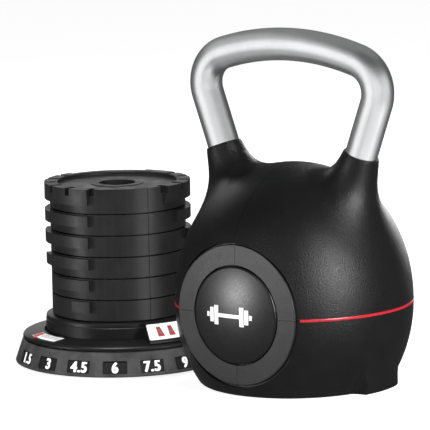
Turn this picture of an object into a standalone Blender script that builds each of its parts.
"""Adjustable kettlebell, shown apart: a hollow shell with a tube handle, and beside it
the selector base that carries its six plates.

Every size is in millimetres and every angle in degrees; meshes are scaled to metres as they
are made. An azimuth is counted from -Y towards +X, so it grows anticlockwise from above.
"""

import math

import bmesh
import bpy
import numpy as np
from mathutils import Matrix, Vector

MM = 0.001
GAP = 0.3

# Layout: both axes stand on Y = 0, the shell at +X and the base at -X.
AXIS_SPACING = 188.5
SHELL_X = 89.8
BASE_X = SHELL_X - AXIS_SPACING

# Dial: six numbers, one division apart. The first one faces this azimuth.
DIAL_STEP = 20.8
DIAL_COUNT = 6
DIAL_START = -28.6

# Plates.
PLATE_RADIUS = 60.0
PLATE_BORE = 16.0
PLATE_PITCH = 19.0
PLATE_COUNT = 6
STACK_BOTTOM = 44.0
TOP_PLATE_HEIGHT = 22.4
TAB_SPACE = 8.0
FLANGE_RADIUS = 64.6
FLANGE_FIXED_END = 12.9
FLANGE_SHORTEST = 16.5
FLANGE_LONGEST = 114.0
RIM_INNER = 53.0
RIM_HEIGHT = 2.8
FLANGE_DROP = 0.8
NOTCH_WIDTH = 5.0
NOTCH_DEPTH = 6.5
FRONT_NOTCH = 14.9
REAR_NOTCH = 78.9
PLATE_EDGE = 0.5

# Centre post and its two keys.
POST_RADIUS = 15.4
POST_TOP = 147.0
KEY_HALF_WIDTH = 2.6
KEY_RADIUS = 17.6
KEY_TOP = 142.5
KEYWAY_HALF_WIDTH = 3.1
KEYWAY_RADIUS = 18.2

# Base and turntable.
FOOT_PAD_HEIGHT = 1.2
RING_BOTTOM = 1.5
RING_BOTTOM_RADIUS = 93.9
RING_TOP = 22.4
RING_TOP_RADIUS = 87.0
RING_WALL = 3.2
RING_LIP_INNER = 70.4
RING_LIP = 2.4
WINDOW_WIDTH = 21.5
WINDOW_HEIGHT = 11.4
WINDOW_DEPTH = 1.3
WINDOW_CENTRE = 10.0
TRAY_TOP = 4.5
TRAY_SCREW_ORBIT = 72.0
PAD_ORBIT = 76.0
PAD_RADIUS = 10.0
HUB_RADIUS = 65.6
HUB_FLANGE_RADIUS = 79.0
HUB_WALL = 3.2
COVER_BOTTOM = 23.8
COVER_RADIUS = 86.8
COVER_BORE = 67.4
BLOCK_AZIMUTH = 68.0
BLOCK_HALF_ANGLE = 13.5
BLOCK_INNER = 68.2
BLOCK_FACE_TOP_RADIUS = 71.4
BLOCK_OUTER = 84.6
BLOCK_FACE_BOTTOM = 30.2
BLOCK_TOP = 43.6
LABEL_MARGIN = 0.8
LABEL_LIFT = 0.2
LABEL_THICKNESS = 0.5

# Shell: two half superellipses joined at the waist, each (power, height).
WAIST_Z = 70.5
WAIST_RADIUS = 102.6
UPPER_POWER = 2.1
UPPER_HEIGHT = 119.0
LOWER_POWER = 2.0
LOWER_HEIGHT = 116.5
WALL = 3.5
LUG_RADIUS = 93.0
LUG_HALF_WIDTH = 24.0
LUG_BLEND = 5.0
FOOT_FLOOR = 3.4
FOOT_BORE = 71.0
FOOT_EDGE = 2.5

# Front and rear disc: a raised ring face with a groove round it and a recess for the cap.
DISC_FACE = 86.8
DISC_RADIUS = 60.1
GROOVE_RADIUS = 61.2
GROOVE_FLOOR = 84.6
DISC_BACK = 79.5
BLANK_RADIUS = 60.6
CAP_RECESS_RADIUS = 42.5
CAP_RECESS_FLOOR = 83.5
CAP_RADIUS = 41.7
CAP_APEX = 92.4

# Red strip round the waist, between the two discs.
STRIP_HEIGHT = 2.3
STRIP_INNER = 100.9
STRIP_OUTER = 102.9
STRIP_START = 37.2

# Handle: a bent tube of legs, two corners and a crowned grip.
TUBE_RADIUS = 14.0
TUBE_BORE = 12.0
GRIP_Z = 290.8
GRIP_CROWN_RADIUS = 236.0
CORNER_RADIUS = 28.0
CORNER_X = 60.7
LEG_LEAN = 19.84
CROWN_STEPS = 2
CORNER_STEPS = 5
NECK_END_Z = 201.0
NECK_RADIUS = 15.5
NECK_FLARE = 0.21
NECK_BLEND = 22.0
LEG_BOTTOM_Z = 156.0

# Inside the shell.
SLEEVE_INNER = 68.6
SLEEVE_OUTER = 70.6
CEILING_BOTTOM = 134.8
CEILING_TOP = 136.8
COLUMN_INNER = 68.9
COLUMN_OUTER = 73.0
COLUMN_HALF_WIDTH = 6.5
TAB_INNER = 61.3
TAB_HEIGHT = 6.0
FIRST_TAB_Z = 15.0
COLUMN_TOP = 132.0
TAB_OFFSET = 18.5
SLEEVE_BOTTOM = 9.0
YOKE_INNER = 73.4
YOKE_OUTER = 76.4
YOKE_BOTTOM = 141.2
YOKE_TOP = 145.6
YOKE_ARM_BOTTOM = 22.0
YOKE_HALF_WIDTH = 23.0
YOKE_END_HALF_WIDTH = 12.6
ARM_HALF_WIDTH = 12.0
BOLT_X = 50.0
BOLT_RADIUS = 4.0
BOLT_TOP_Z = 162.0
PLUG_RADIUS = 11.7
PLUG_TOP_Z = 188.0
PIN_RADIUS = 2.2
PIN_ORBIT = 61.5
PIN_AZIMUTH = FRONT_NOTCH - 4 * DIAL_STEP
PIN_TIP_Z = 129.8
HOUSING_TOP = 150.4
HOUSING_RADIUS = 5.6
SCREW_ORBIT = 75.3
COLUMN_BOTTOM = 7.2
FOOT_RING_INNER = 72.3
FOOT_RING_OUTER = 78.2
FOOT_RING_BOTTOM = 3.9
FOOT_RING_TOP = 6.4
FOOT_RING_HALF_ANGLE = 62.0
LUG_SLOT_X = 88.5
LUG_SLOT_HALF_WIDTH = 20.0
NECK_DEPTH = 42.0

ROUND = 32
SMALL_ROUND = 12


# ---------------------------------------------------------------- scene and mesh helpers

def clear_scene():
    for old in list(bpy.data.objects):
        bpy.data.objects.remove(old, do_unlink=True)


def make_material(name, color, roughness, metallic=0.0):
    material = bpy.data.materials.new(name)
    material.use_nodes = True
    shader = material.node_tree.nodes["Principled BSDF"]
    shader.inputs["Base Color"].default_value = (*color, 1.0)
    shader.inputs["Roughness"].default_value = roughness
    shader.inputs["Metallic"].default_value = metallic
    material.diffuse_color = (*color, 1.0)
    return material


def add_empty(name, x):
    empty = bpy.data.objects.new(name, None)
    empty.location = (x * MM, 0.0, 0.0)
    bpy.context.collection.objects.link(empty)
    return empty


def place(name, bm, material, parent, origin=(0.0, 0.0, 0.0)):
    """Turn a bmesh in millimetres into an object whose origin is at the given point."""
    bmesh.ops.translate(bm, verts=bm.verts, vec=-Vector(origin))
    bmesh.ops.scale(bm, verts=bm.verts, vec=(MM, MM, MM))
    mesh = bpy.data.meshes.new(name)
    bm.to_mesh(mesh)
    bm.free()
    mesh.shade_smooth()
    mesh.set_sharp_from_angle(angle=math.radians(35.0))
    piece = bpy.data.objects.new(name, mesh)
    piece.parent = parent
    piece.location = Vector(origin) * MM
    if material is not None:
        mesh.materials.append(material)
    bpy.context.collection.objects.link(piece)
    return piece


def cutter(name, bm, parent):
    piece = place(name, bm, None, parent)
    piece.hide_render = True
    piece.display_type = "WIRE"
    return piece


def boolean(piece, other, operation):
    modifier = piece.modifiers.new(operation.title() + "_" + other.name, "BOOLEAN")
    modifier.operation = operation
    modifier.solver = "EXACT"
    modifier.object = other
    return modifier


def weld(piece):
    """Merge the doubled points a Boolean can leave where two facets meet."""
    modifier = piece.modifiers.new("Weld", "WELD")
    modifier.merge_threshold = 0.00001


def polar(radius, azimuth, z=0.0):
    angle = math.radians(azimuth)
    return Vector((radius * math.sin(angle), -radius * math.cos(angle), z))


def finish_bmesh(bm):
    bmesh.ops.remove_doubles(bm, verts=bm.verts, dist=0.0005)
    bmesh.ops.recalc_face_normals(bm, faces=bm.faces)
    return bm


def turned(profile, steps=ROUND):
    """Revolve a closed (radius, z) outline about Z."""
    bm = bmesh.new()
    verts = [bm.verts.new((radius, 0.0, z)) for radius, z in profile]
    edges = []
    for first, second in zip(verts, verts[1:] + verts[:1]):
        if first.co.x > 0.0 or second.co.x > 0.0:
            edges.append(bm.edges.new((first, second)))
    bmesh.ops.spin(bm, geom=verts + edges, cent=(0, 0, 0), axis=(0, 0, 1),
                   angle=2.0 * math.pi, steps=steps)
    return finish_bmesh(bm)


def prism(outline, low, high, axis="Z"):
    """Extrude a flat outline: (x, y) along Z, or (x, z) along Y."""
    bm = bmesh.new()
    if axis == "Z":
        verts = [bm.verts.new((a, b, low)) for a, b in outline]
        shift = Vector((0.0, 0.0, high - low))
    else:
        verts = [bm.verts.new((a, low, b)) for a, b in outline]
        shift = Vector((0.0, high - low, 0.0))
    face = bm.faces.new(verts)
    result = bmesh.ops.extrude_face_region(bm, geom=[face])
    moved = [item for item in result["geom"] if isinstance(item, bmesh.types.BMVert)]
    bmesh.ops.translate(bm, verts=moved, vec=shift)
    return finish_bmesh(bm)


def box(x_low, x_high, y_low, y_high, z_low, z_high):
    outline = [(x_low, y_low), (x_high, y_low), (x_high, y_high), (x_low, y_high)]
    return prism(outline, z_low, z_high)


def arc_points(radius, start, end, steps):
    angles = [start + (end - start) * step / steps for step in range(steps + 1)]
    return [tuple(polar(radius, angle).xy) for angle in angles]


def sector(inner, outer, start, end, low, high, step_angle=7.5):
    """A solid block between two radii and two azimuths."""
    steps = max(1, round((end - start) / step_angle))
    outline = arc_points(outer, start, end, steps) + arc_points(inner, end, start, steps)
    return prism(outline, low, high)


def rod(start, end, radius, steps=SMALL_ROUND, end_radius=None):
    start, end = Vector(start), Vector(end)
    bm = bmesh.new()
    length = (end - start).length
    turn = (end - start).to_track_quat("Z", "Y").to_matrix().to_4x4()
    matrix = Matrix.Translation((start + end) / 2.0) @ turn
    bmesh.ops.create_cone(bm, cap_ends=True, segments=steps, radius1=radius,
                          radius2=radius if end_radius is None else end_radius,
                          depth=length, matrix=matrix)
    return bm


def merged(*parts):
    """Put several closed meshes into one, for cutters that may be many bodies."""
    mesh = bpy.data.meshes.new("merged")
    result = bmesh.new()
    for part in parts:
        part.to_mesh(mesh)
        part.free()
        result.from_mesh(mesh)
    bpy.data.meshes.remove(mesh)
    return result


def rotated(bm, angle, axis="Z"):
    bmesh.ops.rotate(bm, verts=bm.verts, cent=(0, 0, 0),
                     matrix=Matrix.Rotation(math.radians(angle), 3, axis))
    return bm


def moved(bm, x=0.0, y=0.0, z=0.0):
    bmesh.ops.translate(bm, verts=bm.verts, vec=(x, y, z))
    return bm


def tube_along(path, outer, inner, steps):
    """An open-ended pipe along points in the XZ plane, its ends cut square."""
    bm = bmesh.new()
    rings = []
    for radius in (outer, inner):
        for index, point in enumerate(path):
            before = path[max(index - 1, 0)]
            after = path[min(index + 1, len(path) - 1)]
            along = (after - before).normalized()
            side = Vector((along.z, 0.0, -along.x))
            ring = []
            for step in range(steps):
                angle = 2.0 * math.pi * step / steps
                offset = side * math.cos(angle) + Vector((0, 1, 0)) * math.sin(angle)
                ring.append(bm.verts.new(point + offset * radius))
            rings.append(ring)
    count = len(path)
    pairs = [(i, i + 1) for i in range(count - 1)]
    pairs += [(count + i, count + i + 1) for i in range(count - 1)]
    pairs += [(0, count), (count - 1, 2 * count - 1)]
    for first, second in pairs:
        for step in range(steps):
            following = (step + 1) % steps
            bm.faces.new((rings[first][step], rings[first][following],
                          rings[second][following], rings[second][step]))
    bmesh.ops.recalc_face_normals(bm, faces=bm.faces)
    return bm


def coil(mean_radius, wire_radius, low, high, turns, steps_per_turn=10, sides=5):
    """A helical spring with closed wire ends."""
    bm = bmesh.new()
    count = turns * steps_per_turn
    rings = []
    for index in range(count + 1):
        angle = 2.0 * math.pi * index / steps_per_turn
        z = low + wire_radius + (high - low - 2.0 * wire_radius) * index / count
        outward = Vector((math.cos(angle), math.sin(angle), 0.0))
        ring = []
        for side in range(sides):
            turn = 2.0 * math.pi * side / sides
            ring.append(bm.verts.new(outward * (mean_radius + wire_radius * math.cos(turn))
                                     + Vector((0.0, 0.0, z + wire_radius * math.sin(turn)))))
        rings.append(ring)
    for first, second in zip(rings, rings[1:]):
        for side in range(sides):
            following = (side + 1) % sides
            bm.faces.new((first[side], second[side], second[following], first[following]))
    bm.faces.new(rings[0])
    bm.faces.new(rings[-1][::-1])
    bmesh.ops.recalc_face_normals(bm, faces=bm.faces)
    return bm


# ---------------------------------------------------------------- shell surface

def blend_union(first, second, width):
    """The smaller of two distances, rounded over where they meet."""
    mix = np.maximum(width - np.abs(first - second), 0.0) / width
    return np.minimum(first, second) - mix * mix * width / 4.0


def leg_axis_x(z):
    """X of the right leg's centreline at a height."""
    crown_z = GRIP_Z - GRIP_CROWN_RADIUS
    reach = GRIP_CROWN_RADIUS - CORNER_RADIUS
    corner_z = crown_z + math.sqrt(reach ** 2 - CORNER_X ** 2)
    lean = math.radians(LEG_LEAN)
    tangent_x = CORNER_X + CORNER_RADIUS * math.cos(lean)
    tangent_z = corner_z - CORNER_RADIUS * math.sin(lean)
    return tangent_x + (z - tangent_z) * math.tan(lean)


def body_distance(points):
    x, y, z = points[..., 0], points[..., 1], points[..., 2] - WAIST_Z
    across = np.hypot(x, y) / WAIST_RADIUS
    upper = (across ** UPPER_POWER + np.abs(z / UPPER_HEIGHT) ** UPPER_POWER) ** (1 / UPPER_POWER)
    lower = (across ** LOWER_POWER + np.abs(z / LOWER_HEIGHT) ** LOWER_POWER) ** (1 / LOWER_POWER)
    size = np.where(z > 0.0, upper, lower)
    length = np.sqrt(x * x + y * y + z * z)
    return length * (1.0 - 1.0 / np.maximum(size, 1e-6))


def neck_distance(points, start=6.0):
    """Distance to the two flared necks, which are cut off just under the handle's joint."""
    lean = math.radians(LEG_LEAN)
    x = np.abs(points[..., 0]) - leg_axis_x(NECK_END_Z)
    z = points[..., 2] - NECK_END_Z
    down = -(x * math.sin(lean) + z * math.cos(lean))
    aside = x * math.cos(lean) - z * math.sin(lean)
    radial = np.hypot(aside, points[..., 1])
    side = radial - (NECK_RADIUS + NECK_FLARE * np.maximum(down, 0.0))
    return np.maximum(side, start - down)


def lug_distance(points):
    reach = np.hypot(points[..., 0], points[..., 1]) - LUG_RADIUS
    return np.maximum(np.maximum(reach, np.abs(points[..., 1]) - LUG_HALF_WIDTH),
                      points[..., 2] - 60.0)


def shell_distance(points):
    body = blend_union(body_distance(points), lug_distance(points), LUG_BLEND)
    return blend_union(body, neck_distance(points), NECK_BLEND)


def reach_surface(origins, directions, offset):
    """Distance along each ray to where the shell's outside, shrunk by offset, lies."""
    low = np.full(origins.shape[:-1], 20.0)
    high = np.full(origins.shape[:-1], 175.0)
    for _ in range(40):
        middle = (low + high) / 2.0
        inside = shell_distance(origins + directions * middle[..., None]) < -offset
        low = np.where(inside, middle, low)
        high = np.where(inside, high, middle)
    return (low + high) / 2.0


def shell_form(offset, floor_z, columns, heights, elevations, edge=0.0, back=None):
    """A closed solid inside the shell's outer surface, from floor_z to the crown.

    columns are angles from +X, heights the levels below the waist, elevations the angles
    above it as seen from the waist's centre.
    """
    angles = np.radians(np.array(columns))
    flat = np.stack([np.cos(angles), np.sin(angles), np.zeros_like(angles)], axis=1)
    rows = []
    for z in [floor_z] + list(heights):
        origins = np.zeros((len(angles), 3))
        origins[:, 2] = z
        rows.append((origins, flat))
    for elevation in elevations:
        tilt = math.radians(elevation)
        directions = flat * math.cos(tilt) + np.array([0.0, 0.0, math.sin(tilt)])
        rows.append((np.tile([0.0, 0.0, WAIST_Z], (len(angles), 1)), directions))
    rings = []
    for index, (origins, directions) in enumerate(rows):
        reach = reach_surface(origins, directions, offset)
        if index == 0:
            reach = reach - edge
        points = origins + directions * reach[:, None]
        if back is not None:
            points = flatten_back(origins, directions, reach, back)
        rings.append(points)
    bm = bmesh.new()
    loops = [[bm.verts.new(Vector(point)) for point in ring] for ring in rings]
    count = len(columns)
    for lower, upper in zip(loops, loops[1:]):
        for column in range(count):
            following = (column + 1) % count
            bm.faces.new((lower[column], lower[following], upper[following], upper[column]))
    bm.faces.new(loops[0][::-1])
    crown = reach_surface(np.array([[0.0, 0.0, WAIST_Z]]), np.array([[0.0, 0.0, 1.0]]), offset)
    pole = bm.verts.new((0.0, 0.0, WAIST_Z + crown[0]))
    for column in range(count):
        bm.faces.new((loops[-1][column], loops[-1][(column + 1) % count], pole))
    bmesh.ops.triangulate(bm, faces=bm.faces)
    bmesh.ops.recalc_face_normals(bm, faces=bm.faces)
    return bm


def flatten_back(origins, directions, reach, back):
    """Stop the rays at the flat backs of the two discs."""
    run = np.abs(directions[:, 1])
    stop = np.where(run > 1e-6, back / np.maximum(run, 1e-6), 1e9)
    landing = origins + directions * stop[:, None]
    on_disc = np.hypot(landing[:, 0], landing[:, 2] - WAIST_Z) < GROOVE_RADIUS + 5.0
    reach = np.where(on_disc, np.minimum(reach, stop), reach)
    return origins + directions * reach[:, None]


def graded_columns(fine, coarse, fine_limit=30.0):
    """Angles round the shell, closer together near the lugs and necks at +X and -X."""
    fine_count = round(fine_limit / fine)
    coarse_count = round((90.0 - fine_limit) / coarse)
    quarter = [fine_limit * i / fine_count for i in range(fine_count)]
    quarter += [fine_limit + (90.0 - fine_limit) * i / coarse_count for i in range(coarse_count)]
    half = quarter + [90.0] + [180.0 - angle for angle in reversed(quarter[1:])]
    return half + [angle + 180.0 for angle in half]


def leg_point(z, side):
    return Vector((side * leg_axis_x(z), 0.0, z))


def handle_path():
    """Centreline of the handle tube, from the left leg's bottom to the right one's."""
    crown_z = GRIP_Z - GRIP_CROWN_RADIUS
    reach = GRIP_CROWN_RADIUS - CORNER_RADIUS
    corner_z = crown_z + math.sqrt(reach ** 2 - CORNER_X ** 2)
    crown_end = math.degrees(math.asin(CORNER_X / reach))
    right = []
    for step in range(CROWN_STEPS):
        angle = math.radians(crown_end * step / CROWN_STEPS)
        right.append(Vector((GRIP_CROWN_RADIUS * math.sin(angle), 0.0,
                             crown_z + GRIP_CROWN_RADIUS * math.cos(angle))))
    bend_end = 90.0 + LEG_LEAN
    for step in range(CORNER_STEPS + 1):
        angle = math.radians(crown_end + (bend_end - crown_end) * step / CORNER_STEPS)
        right.append(Vector((CORNER_X + CORNER_RADIUS * math.sin(angle), 0.0,
                             corner_z + CORNER_RADIUS * math.cos(angle))))
    right.append(leg_point(NECK_END_Z, 1.0))
    right.append(leg_point(LEG_BOTTOM_Z, 1.0))
    left = [Vector((-point.x, 0.0, point.z)) for point in reversed(right[1:])]
    return left + right


# ---------------------------------------------------------------- shell pieces

def build_shell_master(parent):
    """The whole shell in one piece, hollowed and cut; the quarters are taken from it."""
    outer = shell_form(0.0, 0.0, graded_columns(6.0, 12.0), (FOOT_EDGE, 12.0, 21.0, 34.0, 52.0),
                       (0.0, 12.0, 24.0, 34.0, 42.0, 48.0, 53.0, 58.0, 63.0, 69.0, 78.0),
                       edge=FOOT_EDGE)
    master = cutter("shell_master", outer, parent)
    ends = []
    for side in (-1.0, 1.0):
        top = leg_point(NECK_END_Z, side)
        bottom = leg_point(NECK_END_Z - NECK_DEPTH * math.cos(math.radians(LEG_LEAN)), side)
        ends.append(rod(top, bottom, NECK_RADIUS, 24, NECK_RADIUS + NECK_FLARE * NECK_DEPTH))
    boolean(master, cutter("neck_form", merged(*ends), parent), "UNION")

    cavity = shell_form(WALL, FOOT_FLOOR, graded_columns(10.0, 15.0), (12.0, 24.0, 46.0),
                        (0.0, 20.0, 38.0, 50.0, 62.0, 76.0), back=DISC_BACK)
    boolean(master, cutter("cavity", cavity, parent), "DIFFERENCE")

    blanks, faces = [], []
    for turn in (0.0, 180.0):
        blank = turned([(0, DISC_BACK + 2.0), (BLANK_RADIUS, DISC_BACK + 2.0), (BLANK_RADIUS, 95.0),
                        (0, 95.0)])
        blanks.append(disc_placed(blank, turn))
        face = turned([(0, CAP_RECESS_FLOOR), (CAP_RECESS_RADIUS, CAP_RECESS_FLOOR),
                       (CAP_RECESS_RADIUS, DISC_FACE), (DISC_RADIUS - 0.6, DISC_FACE),
                       (DISC_RADIUS, DISC_FACE - 0.6), (DISC_RADIUS, GROOVE_FLOOR),
                       (GROOVE_RADIUS, GROOVE_FLOOR), (GROOVE_RADIUS, 120.0), (0, 120.0)])
        faces.append(disc_placed(face, turn))
    boolean(master, cutter("disc_blank", merged(*blanks), parent), "UNION")
    boolean(master, cutter("disc_face_cut", merged(*faces), parent), "DIFFERENCE")
    weld(master)

    bores = [rod(leg_point(NECK_END_Z + 8.0, side), leg_point(NECK_END_Z - 55.0, side),
                 TUBE_RADIUS + GAP, 24) for side in (-1.0, 1.0)]
    opening = turned([(0, -5.0), (FOOT_BORE, -5.0), (FOOT_BORE, 12.0), (0, 12.0)])
    slots = box(-LUG_SLOT_X, LUG_SLOT_X, -LUG_SLOT_HALF_WIDTH, LUG_SLOT_HALF_WIDTH, -5.0, 5.0)
    boolean(master, cutter("neck_bores", merged(*bores), parent), "DIFFERENCE")
    boolean(master, cutter("foot_opening", opening, parent), "DIFFERENCE")
    boolean(master, cutter("lug_slots", slots, parent), "DIFFERENCE")

    half_slot = STRIP_HEIGHT / 2.0 + GAP
    rabbets = [sector(STRIP_INNER - GAP, 112.0, STRIP_START - 0.2 + turn, 180.2 - STRIP_START + turn,
                      WAIST_Z - half_slot, WAIST_Z + half_slot) for turn in (0.0, 180.0)]
    boolean(master, cutter("strip_rabbets", merged(*rabbets), parent), "DIFFERENCE")

    holes = []
    for azimuth in screw_azimuths():
        hole = turned([(0, -2.0), (3.3, -2.0), (3.3, 1.5), (1.7, 1.5), (1.7, 6.0), (0, 6.0)], 12)
        holes.append(moved(hole, *polar(SCREW_ORBIT, azimuth)))
    boolean(master, cutter("foot_screw_holes", merged(*holes), parent), "DIFFERENCE")
    weld(master)
    return master


def disc_placed(bm, turn):
    """Move a form turned about Z onto the front (0) or rear (180) disc's axis."""
    rotated(bm, 90.0, "X")
    moved(bm, z=WAIST_Z)
    return rotated(bm, turn)


def screw_azimuths():
    return [45.0 + 90.0 * index for index in range(4)]


def build_shell(parent, mats):
    master = build_shell_master(parent)
    half = GAP / 2.0
    spans = {"left": (-125.0, -half), "right": (half, 125.0)}
    levels = {"lower": (-8.0, WAIST_Z - half), "upper": (WAIST_Z + half, 230.0)}
    for level, (low, high) in levels.items():
        for hand, (x_low, x_high) in spans.items():
            block = box(x_low, x_high, -125.0, 125.0, low, high)
            quarter = place(f"shell_{level}_{hand}", block, mats["shell"], parent)
            boolean(quarter, master, "INTERSECT")
    for turn, hand in ((0.0, "right"), (180.0, "left")):
        strip = sector(STRIP_INNER, STRIP_OUTER, STRIP_START + turn, 180.0 - STRIP_START + turn,
                       WAIST_Z - STRIP_HEIGHT / 2.0, WAIST_Z + STRIP_HEIGHT / 2.0, 5.3)
        place(f"waist_strip_{hand}", strip, mats["red"], parent)
    for turn, name in ((0.0, "front_cap"), (180.0, "rear_cap")):
        place(name, disc_placed(turned(cap_profile()), turn), mats["shell"], parent)


def cap_profile():
    """A domed cap with a thin wall, open towards the shell."""
    base = CAP_RECESS_FLOOR + GAP
    edge = DISC_FACE + 1.0
    outside, inside = [], []
    for step in range(4):
        radius = (CAP_RADIUS - 1.2) * (1.0 - step / 3.0)
        fall = 1.0 - (radius / (CAP_RADIUS - 1.2)) ** 2
        outside.append((radius, edge + (CAP_APEX - edge) * fall))
        inside.append((radius * 0.93, edge - 2.2 + (CAP_APEX - edge) * fall))
    return [(CAP_RADIUS, base), (CAP_RADIUS, edge - 0.8)] + outside + inside[::-1] + [(inside[0][0], base)]


def build_handle(parent, mats):
    place("handle_tube", tube_along(handle_path(), TUBE_RADIUS, TUBE_BORE, 14), mats["steel"], parent)
    for side, hand in ((-1.0, "left"), (1.0, "right")):
        plug = place(f"leg_plug_{hand}", rod(leg_point(YOKE_TOP - 12.0, side), leg_point(PLUG_TOP_Z, side),
                                             PLUG_RADIUS, 20), mats["zinc"], parent)
        below = box(side * 10.0 if side > 0 else -95.0, 95.0 if side > 0 else -10.0, -30.0, 30.0,
                    90.0, YOKE_TOP + GAP)
        boolean(plug, cutter(f"plug_foot_cut_{hand}", below, parent), "DIFFERENCE")
        hole = rod((side * BOLT_X, 0, YOKE_TOP - 5.0), (side * BOLT_X, 0, BOLT_TOP_Z + GAP),
                   BOLT_RADIUS + GAP, 12)
        boolean(plug, cutter(f"plug_bolt_hole_{hand}", hole, parent), "DIFFERENCE")
        head_top = YOKE_BOTTOM - GAP
        bolt = turned([(0, head_top - 3.6), (6.5, head_top - 3.6), (6.5, head_top),
                       (BOLT_RADIUS, head_top), (BOLT_RADIUS, BOLT_TOP_Z), (0, BOLT_TOP_Z)], 12)
        place(f"handle_bolt_{hand}", moved(bolt, x=side * BOLT_X), mats["zinc"], parent)


def build_lifting_frame(parent, mats):
    """The yoke bolted under the legs, and the two toothed columns it carries."""
    end = YOKE_OUTER - 0.4
    half = [(end, YOKE_END_HALF_WIDTH), (66.0, YOKE_END_HALF_WIDTH), (57.0, YOKE_HALF_WIDTH)]
    top = half + [(-x, y) for x, y in reversed(half)]
    outline = top + [(-x, -y) for x, y in top]
    yoke = place("lifting_yoke", rotated(prism(outline, YOKE_BOTTOM, YOKE_TOP), TAB_OFFSET),
                 mats["zinc"], parent)
    for side, hand in ((-1.0, "left"), (1.0, "right")):
        arm = box(YOKE_INNER, YOKE_OUTER, -ARM_HALF_WIDTH, ARM_HALF_WIDTH, YOKE_ARM_BOTTOM, YOKE_TOP - 1.0)
        turn = TAB_OFFSET if side > 0 else TAB_OFFSET + 180.0
        boolean(yoke, cutter(f"yoke_arm_{hand}", rotated(arm, turn), parent), "UNION")
        hole = rod((side * BOLT_X, 0, YOKE_BOTTOM - 3.0), (side * BOLT_X, 0, YOKE_TOP + 3.0),
                   BOLT_RADIUS + GAP, 12)
        boolean(yoke, cutter(f"yoke_bolt_hole_{hand}", hole, parent), "DIFFERENCE")
        comb = [(COLUMN_OUTER, COLUMN_BOTTOM), (COLUMN_OUTER, COLUMN_TOP), (COLUMN_INNER, COLUMN_TOP)]
        for index in reversed(range(PLATE_COUNT)):
            low = FIRST_TAB_Z + index * PLATE_PITCH
            comb += [(COLUMN_INNER, low + TAB_HEIGHT), (TAB_INNER, low + TAB_HEIGHT),
                     (TAB_INNER, low), (COLUMN_INNER, low)]
        comb.append((COLUMN_INNER, COLUMN_BOTTOM))
        column = prism(comb, -COLUMN_HALF_WIDTH, COLUMN_HALF_WIDTH, "Y")
        place(f"tab_column_{hand}", rotated(column, turn), mats["zinc"], parent)
    hole = rod(polar(PIN_ORBIT, PIN_AZIMUTH, YOKE_BOTTOM - 3.0),
               polar(PIN_ORBIT, PIN_AZIMUTH, YOKE_TOP + 3.0), HOUSING_RADIUS + 0.6, 16)
    boolean(yoke, cutter("yoke_detent_hole", hole, parent), "DIFFERENCE")
    build_foot_rings(parent, mats)


def build_foot_rings(parent, mats):
    """Two arcs that clamp the shell's floor, clear of the lugs, with two screws each."""
    for turn, name in ((0.0, "foot_ring_front"), (180.0, "foot_ring_rear")):
        arc = sector(FOOT_RING_INNER, FOOT_RING_OUTER, turn - FOOT_RING_HALF_ANGLE,
                     turn + FOOT_RING_HALF_ANGLE, FOOT_RING_BOTTOM, FOOT_RING_TOP, 10.0)
        foot_ring = place(name, arc, mats["zinc"], parent)
        for azimuth in (turn - 45.0, turn + 45.0):
            hole = rod(polar(SCREW_ORBIT, azimuth, 2.0), polar(SCREW_ORBIT, azimuth, 9.0), 1.7, 12)
            boolean(foot_ring, cutter(f"{name}_hole_{azimuth:.0f}", hole, parent), "DIFFERENCE")
    for index, azimuth in enumerate(screw_azimuths(), start=1):
        screw = turned([(0, 0.4), (2.9, 0.4), (2.9, 1.2), (1.4, 1.2), (1.4, 6.0), (0, 6.0)], 12)
        place(f"foot_screw_{index}", moved(screw, *polar(SCREW_ORBIT, azimuth)), mats["zinc"], parent)


def build_sleeve(parent, mats):
    """The cup that the stack goes into, slotted for the columns."""
    cup = turned([(SLEEVE_INNER, SLEEVE_BOTTOM), (SLEEVE_OUTER, SLEEVE_BOTTOM), (SLEEVE_OUTER, CEILING_TOP),
                  (0, CEILING_TOP), (0, CEILING_BOTTOM), (SLEEVE_INNER, CEILING_BOTTOM)])
    sleeve = place("inner_sleeve", cup, mats["grey"], parent)
    for turn in (TAB_OFFSET, TAB_OFFSET + 180.0):
        slot = box(60.0, 80.0, -COLUMN_HALF_WIDTH - GAP, COLUMN_HALF_WIDTH + GAP, -5.0, COLUMN_TOP + GAP)
        boolean(sleeve, cutter(f"sleeve_slot_{turn:.0f}", rotated(slot, turn), parent), "DIFFERENCE")
    hole = rod(polar(PIN_ORBIT, PIN_AZIMUTH, 120.0), polar(PIN_ORBIT, PIN_AZIMUTH, 140.0),
               PIN_RADIUS + 0.5, 12)
    boolean(sleeve, cutter("pin_hole", hole, parent), "DIFFERENCE")


def build_detent(parent, mats):
    """A sprung pin that drops into the top plate's notches."""
    base = CEILING_TOP + GAP
    centre = polar(PIN_ORBIT, PIN_AZIMUTH)
    roof = HOUSING_TOP - 1.8
    housing = turned([(3.8, base), (HOUSING_RADIUS, base), (HOUSING_RADIUS, HOUSING_TOP),
                      (1.0, HOUSING_TOP), (1.0, roof), (3.8, roof)], 16)
    place("detent_housing", moved(housing, *centre), mats["grey"], parent)
    collar = base + 1.7
    pin = turned([(0, PIN_TIP_Z), (0.9, PIN_TIP_Z), (PIN_RADIUS, PIN_TIP_Z + 1.8), (PIN_RADIUS, base),
                  (3.4, base), (3.4, collar), (1.4, collar), (1.4, collar + 3.0), (0, collar + 3.0)], 12)
    place("detent_pin", moved(pin, *centre), mats["zinc"], parent, tuple(centre))
    spring = coil(2.6, 0.35, collar + GAP, roof - GAP, 5)
    place("detent_spring", moved(spring, *centre), mats["zinc"], parent)


# ---------------------------------------------------------------- base pieces

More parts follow.
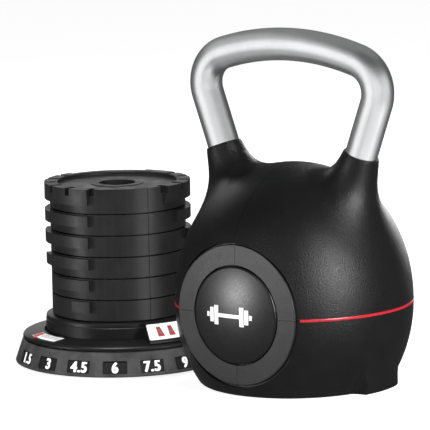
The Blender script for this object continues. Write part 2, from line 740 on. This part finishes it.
def build_number_ring(parent, mats):
    profile = [(RING_BOTTOM_RADIUS - RING_WALL, RING_BOTTOM), (RING_BOTTOM_RADIUS - 0.8, RING_BOTTOM),
               (RING_BOTTOM_RADIUS, RING_BOTTOM + 1.0), (RING_TOP_RADIUS + 0.4, RING_TOP - 0.6),
               (RING_TOP_RADIUS - 0.4, RING_TOP), (RING_LIP_INNER, RING_TOP),
               (RING_LIP_INNER, RING_TOP - RING_LIP), (RING_TOP_RADIUS - RING_WALL, RING_TOP - RING_LIP)]
    ring = place("number_ring", turned(profile, 48), mats["base"], parent)
    slope = math.degrees(math.atan2(RING_BOTTOM_RADIUS - RING_TOP_RADIUS, RING_TOP - RING_BOTTOM))
    share = (WINDOW_CENTRE - RING_BOTTOM) / (RING_TOP - RING_BOTTOM)
    radius = RING_BOTTOM_RADIUS + (RING_TOP_RADIUS - RING_BOTTOM_RADIUS) * share
    for index in range(DIAL_COUNT):
        window = box(-WINDOW_WIDTH / 2.0, WINDOW_WIDTH / 2.0, -WINDOW_DEPTH, 6.0,
                     -WINDOW_HEIGHT / 2.0, WINDOW_HEIGHT / 2.0)
        rotated(window, 180.0)
        rotated(window, -slope, "X")
        moved(window, y=-radius, z=WINDOW_CENTRE)
        rotated(window, dial_azimuth(index))
        boolean(ring, cutter(f"window_{index + 1}", window, parent), "DIFFERENCE")


def dial_azimuth(index):
    return DIAL_START + index * DIAL_STEP


def build_base(parent, mats):
    build_number_ring(parent, mats)
    tray_radius = RING_BOTTOM_RADIUS - RING_WALL - 1.8
    tray = turned([(BOLT_RADIUS + GAP, RING_BOTTOM), (tray_radius, RING_BOTTOM), (tray_radius, TRAY_TOP),
                   (BOLT_RADIUS + GAP, TRAY_TOP)])
    base_tray = place("base_tray", tray, mats["base"], parent)
    low = TRAY_TOP + GAP
    hub = turned([(HUB_RADIUS - HUB_WALL, low), (HUB_FLANGE_RADIUS, low), (HUB_FLANGE_RADIUS, low + 3.0),
                  (HUB_RADIUS, low + 3.0), (HUB_RADIUS, STACK_BOTTOM - GAP - 0.6),
                  (HUB_RADIUS - 0.6, STACK_BOTTOM - GAP), (POST_RADIUS + GAP, STACK_BOTTOM - GAP),
                  (POST_RADIUS + GAP, STACK_BOTTOM - 3.5), (HUB_RADIUS - HUB_WALL, STACK_BOTTOM - 3.5)])
    selector_hub = place("selector_hub", hub, mats["base"], parent)
    keyway_cut = box(-KEYWAY_RADIUS, KEYWAY_RADIUS, -KEYWAY_HALF_WIDTH, KEYWAY_HALF_WIDTH,
                     STACK_BOTTOM - 12.0, STACK_BOTTOM + 5.0)
    boolean(selector_hub, cutter("hub_keyway", keyway_cut, parent), "DIFFERENCE")
    for index, azimuth in enumerate(screw_azimuths(), start=1):
        foot = polar(TRAY_SCREW_ORBIT, azimuth)
        hole = cutter(f"tray_hole_{index}", rod(foot, foot + Vector((0, 0, 12.0)), 1.8, 12), parent)
        sink = cutter(f"tray_sink_{index}", rod(foot, foot + Vector((0, 0, 2.7)), 3.6, 12), parent)
        boolean(base_tray, hole, "DIFFERENCE")
        boolean(base_tray, sink, "DIFFERENCE")
        boolean(selector_hub, hole, "DIFFERENCE")
        screw = turned([(0, 1.6), (3.2, 1.6), (3.2, 2.4), (1.5, 2.4), (1.5, 7.4), (0, 7.4)], 12)
        place(f"tray_screw_{index}", moved(screw, *foot), mats["zinc"], parent)
        pad = turned([(0, 0), (PAD_RADIUS - 0.8, 0), (PAD_RADIUS, 0.6), (PAD_RADIUS, FOOT_PAD_HEIGHT),
                      (0, FOOT_PAD_HEIGHT)], 20)
        place(f"rubber_foot_{index}", moved(pad, *polar(PAD_ORBIT, azimuth + 45.0)), mats["rubber"], parent)
    build_post(parent, mats)


def build_post(parent, mats):
    low = TRAY_TOP + GAP
    post = turned([(0, low), (POST_RADIUS, low), (POST_RADIUS, POST_TOP - 3.0),
                   (POST_RADIUS - 3.0, POST_TOP), (0, POST_TOP)], 32)
    centre_post = place("centre_post", post, mats["base"], parent)
    keys = box(-KEY_RADIUS, KEY_RADIUS, -KEY_HALF_WIDTH, KEY_HALF_WIDTH, low + 12.0, KEY_TOP)
    boolean(centre_post, cutter("post_keys", keys, parent), "UNION")
    bore = rod((0, 0, 0), (0, 0, 200.0), BOLT_RADIUS + GAP, 16)
    boolean(centre_post, cutter("post_bore", bore, parent), "DIFFERENCE")
    bolt = turned([(0, 1.6), (0, POST_TOP + 4.5), (7.0, POST_TOP + 4.5), (7.0, POST_TOP + GAP),
                   (BOLT_RADIUS, POST_TOP + GAP), (BOLT_RADIUS, 1.6)], 16)
    place("post_bolt", bolt, mats["zinc"], parent)


def cover_profile():
    """Section of the turntable's cover: a rounded rim and a top that slopes in a little."""
    return [(COVER_BORE, 24.8), (69.6, 24.8), (69.6, 26.2), (80.6, 26.2), (83.8, 24.4),
            (84.2, COVER_BOTTOM), (COVER_RADIUS, COVER_BOTTOM),
            (COVER_RADIUS - 0.2, 25.8), (COVER_RADIUS - 1.3, 26.8), (84.0, 27.4),
            (COVER_BORE, 29.8)]


def build_turntable(parent, mats):
    place("turntable_cover", turned(cover_profile()), mats["base"], parent)
    glide = turned([(71.5, RING_TOP + GAP), (79.5, RING_TOP + GAP), (79.5, 25.9), (71.5, 25.9)])
    place("glide_ring", glide, mats["white"], parent)
    for azimuth, name in ((BLOCK_AZIMUTH, "front"), (BLOCK_AZIMUTH + 180.0, "rear")):
        outline = [(BLOCK_INNER, 30.3), (81.5, 28.3), (BLOCK_OUTER, 27.9), (BLOCK_OUTER, BLOCK_FACE_BOTTOM),
                   (BLOCK_FACE_TOP_RADIUS, BLOCK_TOP), (BLOCK_INNER, BLOCK_TOP)]
        place(f"label_block_{name}", wedge(outline, BLOCK_HALF_ANGLE, azimuth), mats["base"], parent)
        top = Vector((BLOCK_FACE_TOP_RADIUS, BLOCK_TOP))
        bottom = Vector((BLOCK_OUTER, BLOCK_FACE_BOTTOM))
        run = (bottom - top).normalized()
        rise = Vector((-run.y, run.x))
        start = top + run * LABEL_MARGIN + rise * LABEL_LIFT
        stop = bottom - run * LABEL_MARGIN + rise * LABEL_LIFT
        plate = [tuple(start), tuple(stop), tuple(stop + rise * LABEL_THICKNESS),
                 tuple(start + rise * LABEL_THICKNESS)]
        place(f"label_plate_{name}", wedge(plate, BLOCK_HALF_ANGLE - 1.0, azimuth), mats["white"], parent)
    label = [(71.4, 29.55), (81.8, 28.05), (81.8, 28.45), (71.4, 29.95)]
    place("cover_label", wedge(label, 17.0, -20.0), mats["white"], parent)
    build_pointer(parent, mats)


def wedge(outline, half_angle, azimuth, step_angle=5.0):
    """Sweep a (radius, z) outline over an arc centred on an azimuth."""
    bm = bmesh.new()
    steps = max(2, round(2.0 * half_angle / step_angle))
    sections = []
    for step in range(steps + 1):
        angle = azimuth - half_angle + 2.0 * half_angle * step / steps
        sections.append([bm.verts.new(polar(radius, angle, z)) for radius, z in outline])
    count = len(outline)
    for first, second in zip(sections, sections[1:]):
        for index in range(count):
            following = (index + 1) % count
            bm.faces.new((first[index], first[following], second[following], second[index]))
    bm.faces.new(sections[0])
    bm.faces.new(sections[-1][::-1])
    bmesh.ops.recalc_face_normals(bm, faces=bm.faces)
    return bm


def build_pointer(parent, mats):
    """A small raised triangle on the rim that points down at the chosen number."""
    azimuth = dial_azimuth(0)
    corners = [polar(82.2, azimuth - 2.0, 28.05), polar(82.2, azimuth + 2.0, 28.05),
               polar(85.0, azimuth, 27.6)]
    bm = bmesh.new()
    low = [bm.verts.new(point) for point in corners]
    high = [bm.verts.new(point + Vector((0, 0, 0.5))) for point in corners]
    bm.faces.new(low[::-1])
    bm.faces.new(high)
    for index in range(3):
        following = (index + 1) % 3
        bm.faces.new((low[index], low[following], high[following], high[index]))
    bmesh.ops.recalc_face_normals(bm, faces=bm.faces)
    place("pointer", bm, mats["red"], parent)


# ---------------------------------------------------------------- plates

def flange_span(index):
    """Azimuths of a plate's left flange; index counts from the bottom plate."""
    length = min(FLANGE_SHORTEST + DIAL_STEP * index, FLANGE_LONGEST)
    return FLANGE_FIXED_END - length, FLANGE_FIXED_END


def build_plate(index, parent, mats):
    low = STACK_BOTTOM + index * PLATE_PITCH
    top_plate = index == PLATE_COUNT - 1
    high = low + (TOP_PLATE_HEIGHT if top_plate else PLATE_PITCH - GAP)
    edge = PLATE_EDGE
    if top_plate:
        profile = [(PLATE_BORE, low), (PLATE_RADIUS - edge, low), (PLATE_RADIUS, low + edge),
                   (PLATE_RADIUS, high - edge), (PLATE_RADIUS - edge, high), (RIM_INNER + 1.0, high),
                   (RIM_INNER, high - RIM_HEIGHT), (PLATE_BORE, high - RIM_HEIGHT)]
    else:
        profile = [(PLATE_BORE, low), (PLATE_RADIUS - edge, low), (PLATE_RADIUS, low + edge),
                   (PLATE_RADIUS, high - edge), (PLATE_RADIUS - edge, high), (PLATE_BORE, high)]
    plate = place(f"plate_{PLATE_COUNT - index}", turned(profile), mats["plate"], parent)
    start, end = flange_span(index)
    flange_top = high if top_plate else high - FLANGE_DROP
    flanges = [sector(PLATE_RADIUS - 3.0, FLANGE_RADIUS, start + turn, end + turn, low + TAB_SPACE,
                      flange_top) for turn in (0.0, 180.0)]
    for number, flange in enumerate(flanges):
        boolean(plate, cutter(f"flange_{index}_{number}", flange, parent), "UNION")
    keyway_top = KEY_TOP + 1.0 if top_plate else high + 5.0
    keyways = box(-KEYWAY_RADIUS, KEYWAY_RADIUS, -KEYWAY_HALF_WIDTH, KEYWAY_HALF_WIDTH, low - 5.0,
                  keyway_top)
    boolean(plate, cutter(f"keyway_{index}", keyways, parent), "DIFFERENCE")
    if top_plate:
        cut_notches(plate, high, parent)
    return plate


def cut_notches(plate, high, parent):
    """Radial notches across the rim, one dial division apart, for the detent pin."""
    azimuths = [FRONT_NOTCH - number * DIAL_STEP for number in range(DIAL_COUNT)]
    azimuths += [REAR_NOTCH + number * DIAL_STEP for number in range(DIAL_COUNT - 1)]
    notches = []
    for azimuth in azimuths:
        notch = box(-NOTCH_WIDTH / 2.0, NOTCH_WIDTH / 2.0, -FLANGE_RADIUS - 3.0, -RIM_INNER - 2.0,
                    high - NOTCH_DEPTH, high + 3.0)
        notches.append(rotated(notch, azimuth))
    boolean(plate, cutter("rim_notches", merged(*notches), parent), "DIFFERENCE")


# ---------------------------------------------------------------- assembly

def build():
    clear_scene()
    mats = {
        "shell": make_material("black_plastic", (0.022, 0.022, 0.023), 0.42),
        "plate": make_material("plate_coating", (0.03, 0.03, 0.032), 0.5),
        "base": make_material("base_plastic", (0.025, 0.025, 0.027), 0.45),
        "steel": make_material("satin_steel", (0.62, 0.63, 0.64), 0.28, 1.0),
        "zinc": make_material("plated_steel", (0.5, 0.5, 0.5), 0.4, 1.0),
        "grey": make_material("inner_plastic", (0.08, 0.08, 0.085), 0.55),
        "rubber": make_material("rubber", (0.02, 0.02, 0.02), 0.8),
        "red": make_material("red_plastic", (0.62, 0.03, 0.045), 0.35),
        "white": make_material("white_plastic", (0.8, 0.8, 0.8), 0.4),
    }
    base = add_empty("base_axis", BASE_X)
    turntable = add_empty("turntable_axis", BASE_X)
    shell = add_empty("shell_axis", SHELL_X)
    build_base(base, mats)
    build_turntable(turntable, mats)
    for index in range(PLATE_COUNT):
        build_plate(index, base, mats)
    build_shell(shell, mats)
    build_handle(shell, mats)
    build_lifting_frame(shell, mats)
    build_sleeve(shell, mats)
    build_detent(shell, mats)


build()
